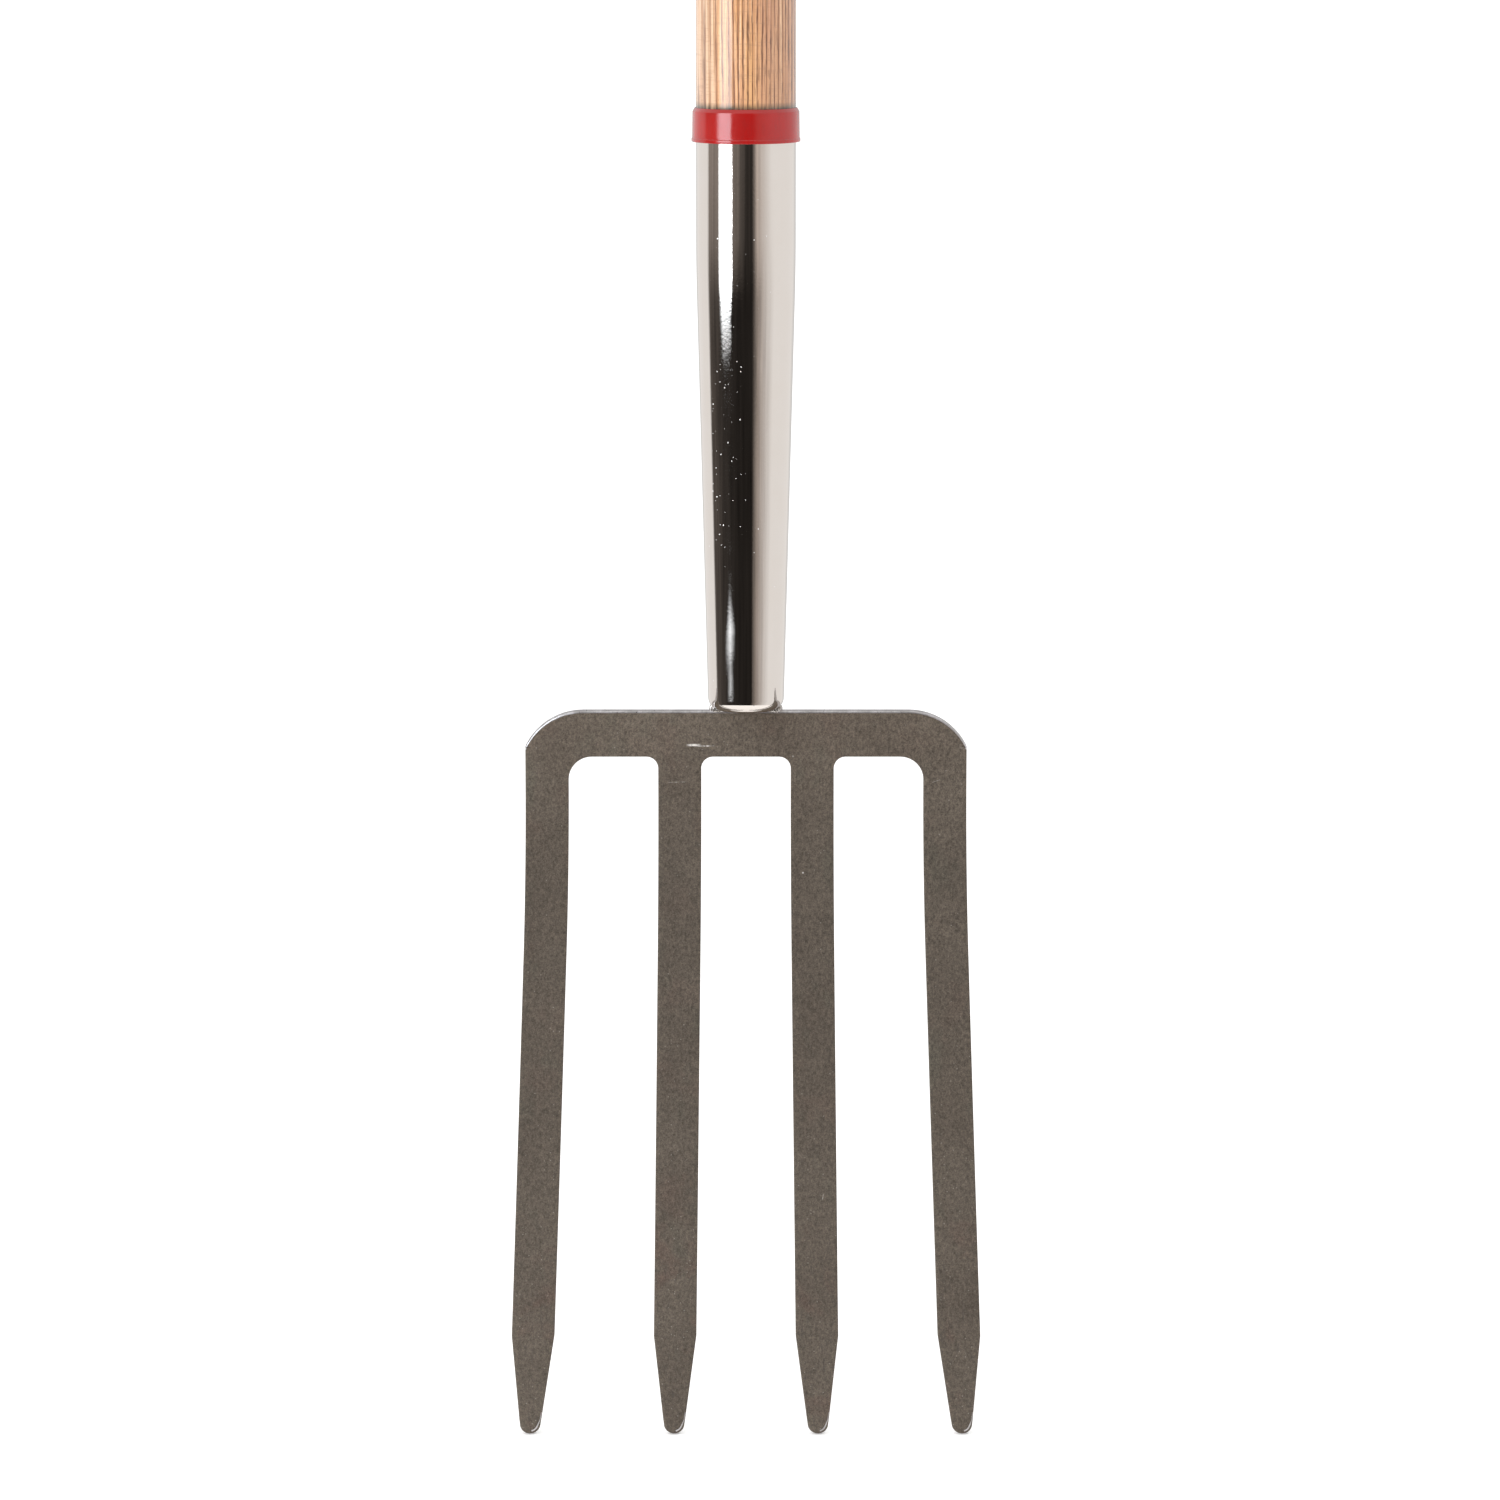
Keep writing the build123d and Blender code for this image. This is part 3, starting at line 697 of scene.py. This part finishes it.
def red_plastic():
    """Glossy red moulding with slight flow marks and a fine haze."""
    mat, n, shader, place = material("collar_plastic", specular=0.4, coat=0.42, coat_roughness=0.1)
    cloud = n.noise(place, 90, 3)
    flow = n.noise(n.stretch(place, 1, 1, 0.3), 420, 3, 0.6)
    base = n.ramp(cloud, [(0.3, (0.325, 0.0055, 0.0045)), (0.7, (0.37, 0.008, 0.007))])
    marks = n.grade(flow, 0.55, 0.7, 0, 0.25)
    n.put(shader.inputs["Base Color"], n.mix(marks, base, (0.25, 0.004, 0.004, 1)))
    n.put(shader.inputs["Roughness"], n.grade(flow, 0.3, 0.7, 0.12, 0.22))
    relief = n.math("ADD", n.noise(place, 260, 2), n.math("MULTIPLY", flow, 0.5))
    n.put(shader.inputs["Normal"], n.bump(relief, 0.00005, 0.5))
    return mat


def ash_wood():
    """Straight-grained ash under clear lacquer: uneven dark growth rings, with short open pores."""
    mat, n, shader, place = material("shaft_ash", coat=1.0, coat_roughness=0.1)
    parts = n.add("ShaderNodeSeparateXYZ", Vector=place)
    wander = n.noise(n.stretch(place, 1, 1, 0.05), 55, 3)
    across = n.math("ADD", parts.outputs[0], n.math("MULTIPLY", parts.outputs[1], 0.12))
    # The rings are closer together towards the right of the shaft
    across = n.math("ADD", across, n.math("MULTIPLY", n.math("MULTIPLY", across, across), RING_CROWDING))
    across = n.math("ADD", across, n.math("MULTIPLY", wander, RING_WANDER))
    count = n.math("MULTIPLY", across, RINGS_PER_METRE)
    ring = n.math("FRACT", count)
    line = n.math("MULTIPLY", n.grade(ring, 0.0, 0.12), n.grade(ring, 0.22, 0.4, 1, 0))
    fibre = n.noise(n.stretch(place, 1, 1, 0.012), 1300, 3, 0.7)
    strand = n.noise(n.stretch(place, 1, 1, 0.02), 620, 3, 0.7)
    broad = n.noise(n.stretch(place, 1, 1, 0.03), 150, 3, 0.6)
    along = n.noise(n.stretch(place, 1, 1, 0.12), 460, 3, 0.65)
    dash = n.noise(n.stretch(place, 1, 1, 0.08), 1150, 2, 0.6)
    cross = n.noise(n.stretch(place, 0.12, 0.12, 1), 1100, 2, 0.6)
    blush = n.noise(n.stretch(place, 1, 1, 0.12), 95, 3, 0.6)
    base = n.ramp(broad, [(0.3, (0.56, 0.245, 0.08)), (0.5, (0.72, 0.38, 0.165)),
                          (0.7, (0.64, 0.295, 0.105))])
    # Painted light and shade: the left side of the shaft is coloured lighter, the right side darker and more
    # red.
    painted_light_left = n.grade(parts.outputs[0], -0.0125, -0.0105, 0.85, 0)
    base = n.mix(painted_light_left, base, (0.74, 0.50, 0.33, 1))
    painted_shade_right = n.grade(parts.outputs[0], 0.002, 0.010)
    base = n.mix(n.math("MULTIPLY", painted_shade_right, 0.75), base, (0.51, 0.25, 0.13, 1))
    base = n.mix(n.grade(blush, 0.5, 0.66, 0, 0.4), base, (0.60, 0.28, 0.18, 1))
    base = n.mix(n.grade(strand, 0.49, 0.61, 0, 0.8), base, (0.36, 0.15, 0.05, 1))
    base = n.mix(n.grade(fibre, 0.44, 0.3, 0, 0.7), base, (0.98, 0.68, 0.43, 1))
    lines = n.math("MULTIPLY", line, n.grade(along, 0.36, 0.56, 0.4, 1.0))
    lines = n.math("MULTIPLY", lines, n.grade(parts.outputs[0], -0.012, -0.006, 0.75, 1.0))
    base = n.mix(lines, base, (0.125, 0.034, 0.006, 1))
    pore = n.math("MULTIPLY", n.grade(dash, 0.54, 0.61), n.grade(ring, 0.05, 0.5, 1, 0.35))
    pore = n.math("MULTIPLY", pore, n.grade(parts.outputs[0], -0.012, 0.0, 0.3, 0.9))
    base = n.mix(pore, base, (0.085, 0.028, 0.009, 1))
    base = n.mix(n.grade(cross, 0.52, 0.66, 0, 0.22), base, (0.30, 0.15, 0.08, 1))
    # Just above the collar the wood is darkened: partly painted shade where it meets the collar, partly dirt,
    # speckled along the strands.
    shade = n.grade(parts.outputs[2], collar_high.z + 0.4 * MM, collar_high.z + 2.6 * MM, 1.0, 0)
    shade = n.math("MULTIPLY", shade, n.grade(strand, 0.35, 0.6, 0.5, 1))
    base = n.mix(shade, base, (0.06, 0.04, 0.018, 1))
    n.put(shader.inputs["Base Color"], base)
    n.put(shader.inputs["Roughness"], n.grade(fibre, 0.3, 0.7, 0.42, 0.6))
    relief = n.math("ADD", pore, n.math("MULTIPLY", fibre, 0.4))
    relief = n.math("ADD", n.math("MULTIPLY", line, 0.6), relief)
    n.put(shader.inputs["Normal"], n.bump(n.math("SUBTRACT", 1.0, relief), 0.00006, 0.5))
    return mat


def black_plastic():
    """Black moulding: fine spark-eroded grain, with slightly smoother patches."""
    mat, n, shader, place = material("grip_plastic", specular=0.45)
    shade = n.noise(place, 35, 3)
    rubbed = n.noise(place, 18, 3, 0.6)
    grain = n.noise(place, 1700, 2, 0.6)
    base = n.ramp(shade, [(0.3, grey(0.013)), (0.7, grey(0.022))])
    peaks = n.grade(grain, 0.55, 0.75, 0, 0.3)
    n.put(shader.inputs["Base Color"], n.mix(peaks, base, (0.035, 0.035, 0.037, 1)))
    n.put(shader.inputs["Roughness"], n.grade(rubbed, 0.35, 0.65, 0.34, 0.52))
    n.put(shader.inputs["Normal"], n.bump(grain, 0.00012, 0.6))
    return mat


def red_rubber():
    """Soft red moulding: matt, finely dimpled, a little dusty in patches."""
    mat, n, shader, place = material("grip_rubber", specular=0.3, sheen=0.12)
    shade = n.noise(place, 50, 3)
    dust = n.noise(place, 220, 3, 0.6)
    dimples = n.add("ShaderNodeTexVoronoi", Vector=place, Scale=900).outputs["Distance"]
    base = n.ramp(shade, [(0.3, (0.30, 0.013, 0.012)), (0.7, (0.36, 0.019, 0.017))])
    dusty = n.grade(dust, 0.55, 0.75, 0, 0.3)
    n.put(shader.inputs["Base Color"], n.mix(dusty, base, (0.42, 0.09, 0.08, 1)))
    n.put(shader.inputs["Roughness"], n.grade(shade, 0.3, 0.7, 0.55, 0.68))
    n.put(shader.inputs["Normal"], n.bump(dimples, 0.00012, 0.5))
    return mat


def dress(obj, *mats):
    obj.data.materials.clear()
    for mat in mats:
        obj.data.materials.append(mat)


def add_piece(obj, mat, slot, *nodes):
    """A finished piece: its material, its body and the CAD nodes it stands for. The slot of its finish is not
    used.
    """
    dress(obj, mat)
    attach(obj, "root")
    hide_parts(*nodes)


head, upper_rim_and_highlight_faces = head_mesh()
add_piece(head, plate_steel(), "plate_steel", "fork_head")
head.data.materials.append(edge_steel())
# The listed faces get the brighter edge metal; on the lower right of each point it is a painted highlight.
for k in upper_rim_and_highlight_faces:
    head.data.polygons[k].material_index = 1

polished = polished_steel()
add_piece(socket_mesh(), polished, "polished_steel", "socket")
add_piece(weld_mesh(), weld_steel(), "weld_steel", "socket_welds")
add_piece(collar_mesh(), red_plastic(), "collar_plastic", "collar")
add_piece(shaft_mesh(), ash_wood(), "shaft_ash", "shaft")
# Radii of the rivets' shanks and heads
SOCKET_SHANK = 2.4 * MM
SOCKET_RIVET_HEAD = 4.6 * MM
HUB_SHANK = 3.0 * MM
HUB_RIVET_HEAD = 5.8 * MM
rivet_height = (rivet_low.z + rivet_high.z) / 2
add_piece(rivet_mesh("socket_rivet_domed", rivet_height, SOCKET_SHANK, SOCKET_RIVET_HEAD,
                     [(SOCKET_RADIUS - 0.5 * MM, rivet_high.y)]),
          polished, "polished_steel", "socket_rivet")
hub_rivet_place = (hub_rivet_low.z + hub_rivet_high.z) / 2
hub_seat = frame_high.y - 0.6 * MM
add_piece(rivet_mesh("hub_rivet_domed", hub_rivet_place, HUB_SHANK, HUB_RIVET_HEAD,
                     [(-hub_seat, hub_rivet_low.y), (hub_seat, hub_rivet_high.y)]),
          polished, "polished_steel", "hub_rivet")
add_piece(grip_mesh(), black_plastic(), "grip_plastic", "grip_frame")
add_piece(sleeve_mesh(), red_rubber(), "grip_rubber", "grip_sleeve")


# ---------------------------------------------------------------- studio

def stage_mesh(name, verts, faces, mat, only_glossy=False):
    obj = mesh_object(name, verts, faces, smooth=False)
    dress(obj, mat)
    if only_glossy:
        obj.visible_camera = False
        obj.visible_diffuse = False
        obj.visible_shadow = False
        obj.visible_transmission = False
        obj.visible_volume_scatter = False
    return obj


def floor_material():
    mat, n, shader, place = material("floor_white", roughness=0.9, specular=0.2)
    n.put(shader.inputs["Base Color"], n.ramp(n.noise(place, 3, 2), [(0.3, grey(0.93)), (0.7, grey(0.95))]))
    shader.inputs["Emission Color"].default_value = (1, 1, 1, 1)
    shader.inputs["Emission Strength"].default_value = 0.25
    return mat


def round_ramp(n, side, stops):
    """A colour for each direction round the object, stops as (azimuth in degrees, colour)."""
    return n.ramp(side, [((azimuth + 180) / 360, colour) for azimuth, colour in stops])


def brown(value):
    """The colour of the painted dark card in the reflections, at a brightness."""
    return value, 0.88 * value, 0.8 * value


PALE = grey(0.985)
BEHIND = grey(0.42)
CLUTTER = 2.0                   # strength of the unevenness in the dark card
# Painted reflections for the polished steel, on glowing sheets that only glossy rays see: pale sides, grey
# behind, and a dark card in front with soft ends.
# Each stop is (azimuth in degrees, colour), above the floor and on it.
WALL_LOOK = [(-180, BEHIND), (-150, PALE), (-100, PALE), (-94, brown(0.3)), (-30, brown(0.3)),
             (0, brown(0.04)), (15, brown(0.04)), (25, brown(0.6)), (60, PALE), (140, PALE), (180, BEHIND)]
FLOOR_LOOK = [(-180, BEHIND), (-150, PALE), (-102, PALE), (-96, brown(0.1)), (-60, brown(0.04)),
              (-20, brown(0.02)), (15, brown(0.02)), (30, brown(0.4)), (70, PALE), (140, PALE),
              (180, BEHIND)]


def light_material(name):
    """A new material for a sheet of light: its node writer, its UV coordinates, and the two apart."""
    mat = bpy.data.materials.new(name)
    mat.use_nodes = True
    mat.node_tree.nodes.clear()
    n = Nodes(mat.node_tree)
    around = n.add("ShaderNodeTexCoord").outputs["UV"]
    return mat, n, around, n.add("ShaderNodeSeparateXYZ", Vector=around)


def surround_material():
    """The studio as a painted reflection for the polished steel: dark in front, pale at the sides, grey
    behind.

    U is the direction round the object. V runs from 0 to 1 with the distance on the floor, then up the wall.
    """
    mat, n, around, uv = light_material("studio_surround")
    near = n.grade(uv.outputs[1], 1.0, 1.1, 1, 0)
    wall, floor = round_ramp(n, uv.outputs[0], WALL_LOOK), round_ramp(n, uv.outputs[0], FLOOR_LOOK)
    colour = n.mix(near, wall, floor)
    # Unevenness in the dark part of the painted reflection only
    dark = n.math("SUBTRACT", 1.0, n.add("ShaderNodeRGBToBW", Color=colour).outputs[0], clamp=True)
    clutter = n.noise(n.stretch(around, 1, 0.12, 1), 55, 4, 0.6)
    clutter = n.math("MULTIPLY", n.math("SUBTRACT", clutter, 0.5), CLUTTER)
    colour = n.shade(colour, n.math("ADD", 1.0, n.math("MULTIPLY", clutter, dark)))
    glow = n.add("ShaderNodeEmission", Color=colour, Strength=1.0)
    n.add("ShaderNodeOutputMaterial", Surface=glow)
    return mat


GLOW_TINT = (0.9, 0.98, 1.06, 1)


def glow_material(name, radiance, power, soft_start, soft_end):
    """A glow for a painted reflection of a light, with soft sides across U.

    V is its brightness, from 0 to 1.
    """
    mat, n, _, uv = light_material(name)
    sides = n.math("MULTIPLY", n.grade(uv.outputs[0], 0.0, soft_start),
                   n.grade(uv.outputs[0], 1 - soft_end, 1.0, 1, 0))
    strength = n.math("MULTIPLY", n.math("POWER", uv.outputs[1], power), n.math("POWER", sides, power))
    glow = n.add("ShaderNodeEmission", Color=GLOW_TINT, Strength=n.math("MULTIPLY", strength, radiance))
    see_through = n.add("ShaderNodeBsdfTransparent")
    mixed = n.add("ShaderNodeAddShader", i0=see_through, i1=glow)
    n.add("ShaderNodeOutputMaterial", Surface=mixed)
    return mat


def polar_sheet(name, rows, mat, steps=96, whole_turn=True):
    """A sheet round the object. Each row is (start azimuth, end azimuth, radius, height, v).

    U is the azimuth in parts of a turn, or runs from 0 to 1 along each row.
    """
    verts, faces, uvs = [], [], []
    for start, end, radius, height, v in rows:
        for i in range(steps + 1):
            azimuth = start + (end - start) * i / steps
            a = math.radians(azimuth)
            verts.append((radius * math.sin(a), -radius * math.cos(a), height))
            uvs.append(((azimuth + 180) / 360 if whole_turn else i / steps, v))
    for k in range(len(rows) - 1):
        for i in range(steps):
            a, b = k * (steps + 1) + i, (k + 1) * (steps + 1) + i
            faces.append((a, a + 1, b + 1, b))
    sheet = stage_mesh(name, verts, faces, mat, only_glossy=True)
    layer = sheet.data.uv_layers.new(name="around")
    for loop in sheet.data.loops:
        layer.data[loop.index].uv = uvs[loop.vertex_index]


FLOOR_HALF = 30.0
floor_corners = [(-FLOOR_HALF, -FLOOR_HALF, 0), (FLOOR_HALF, -FLOOR_HALF, 0),
                 (FLOOR_HALF, FLOOR_HALF, 0), (-FLOOR_HALF, FLOOR_HALF, 0)]
stage_mesh("floor", floor_corners, [(0, 1, 2, 3)], floor_material())
surround = surround_material()
WALL_RADIUS = 3.5
WALL_HEIGHT = 3.4
WALL_TOP_V = 1 + WALL_HEIGHT / WALL_RADIUS
SURROUND_START = 0.4            # the floor's surround starts this far out
SURROUND_LIFT = 0.003           # and lies this far above the floor
# The surround is a painted reflection: glowing sheets that only glossy rays see.
polar_sheet("surround_wall", [(-180, 180, WALL_RADIUS, 0.0, 1.0),
                              (-180, 180, WALL_RADIUS, WALL_HEIGHT, WALL_TOP_V)], surround)
polar_sheet("surround_floor", [(-180, 180, SURROUND_START, SURROUND_LIFT, 0.11),
                               (-180, 180, WALL_RADIUS, SURROUND_LIFT, 1.0)], surround)

CARD_RADIUS = 2.4
CARD_RADIANCE = 7.0
CARD_FOOT = 0.1                 # the strip ends in a point at this height
CARD_SHOULDER = 0.2             # and narrows below this one
CARD_TOP = 3.0
CARD_TURN = -50                 # azimuth of its middle, in degrees
CARD_HALF = 18                  # half the angle that it fills


def card_row(height):
    """The strip stands upright and ends in a rounded point at its foot."""
    drop = min(1.0, max(0.0, (CARD_SHOULDER - height) / (CARD_SHOULDER - CARD_FOOT)))
    half = CARD_HALF * math.sqrt(1 - drop**2)
    return CARD_TURN - half, CARD_TURN + half, CARD_RADIUS, height, 1 - drop


card_heights = [CARD_FOOT + (CARD_SHOULDER - CARD_FOOT) * t for t in np.linspace(0, 1, 9)]
card_heights.append(CARD_TOP)
# The light strip is a painted reflection: a glowing sheet that only glossy rays see.
polar_sheet("painted_light_strip", [card_row(height) for height in card_heights],
            glow_material("strip_glow", CARD_RADIANCE, 1.5, 0.25, 0.02), steps=24, whole_turn=False)

PATCH_RADIANCE = 1.75
PATCH_LIFT = 0.006              # height above the floor
PATCH_TURN = -47                # azimuth of its middle, in degrees
# A glowing patch just above the floor that only glossy rays see, a painted reflection: distance from the
# object, half its angle and brightness
PATCH = ((1.9, 4, 0.0), (1.7, 18, 1.0), (1.6, 8, 0.2), (1.5, 12, 0.7))
patch_rows = [(PATCH_TURN - half, PATCH_TURN + half, radius, PATCH_LIFT, glow)
              for radius, half, glow in PATCH]
polar_sheet("painted_floor_patch", patch_rows, glow_material("patch_glow", PATCH_RADIANCE, 1.0, 0.5, 0.5),
            steps=12, whole_turn=False)

world = bpy.data.worlds.new("studio")
bpy.context.scene.world = world
world.use_nodes = True
background = world.node_tree.nodes["Background"]
background.inputs["Color"].default_value = (1.0, 0.995, 0.985, 1)
background.inputs["Strength"].default_value = 1.05


LIGHT_AIM = Vector((0, 0, 0.45))


def softbox(name, azimuth, distance, height, width, tall, radiance):
    """A soft area light that faces the middle of the fork. Glossy rays don't see it: the polished steel sees
    the painted reflection in the light strip instead.
    """
    data = bpy.data.lights.new(name, "AREA")
    data.shape = "RECTANGLE"
    data.size, data.size_y = width, tall
    data.energy = radiance * math.pi * width * tall
    obj = bpy.data.objects.new(name, data)
    bpy.context.collection.objects.link(obj)
    a = math.radians(azimuth)
    obj.location = (distance * math.sin(a), -distance * math.cos(a), height)
    obj.rotation_mode = "QUATERNION"
    obj.rotation_quaternion = (obj.location - LIGHT_AIM).to_track_quat("Z", "Y")
    obj.visible_camera = False
    obj.visible_glossy = False


softbox("key", azimuth=-55, distance=2.4, height=1.25, width=1.3, tall=2.2, radiance=2.6)

# ---------------------------------------------------------------- camera

AIM = Vector((0.0016, 0, 0.2772))
ELEVATION = math.radians(9)
DISTANCE = 2.369
SENSOR = 36
VIEW_WIDTH = 0.6                # width of the view at the fork, in metres
camera_data = bpy.data.cameras.new("camera")
camera_data.sensor_width = SENSOR
camera_data.lens = SENSOR * DISTANCE / VIEW_WIDTH
camera_data.clip_end = 100
camera = bpy.data.objects.new("camera", camera_data)
bpy.context.collection.objects.link(camera)
camera.location = AIM + DISTANCE * Vector((0, -math.cos(ELEVATION), math.sin(ELEVATION)))
camera.rotation_mode = "QUATERNION"
camera.rotation_quaternion = (camera.location - AIM).to_track_quat("Z", "Y")
bpy.context.scene.camera = camera
bpy.context.scene.view_settings.view_transform = "Standard"
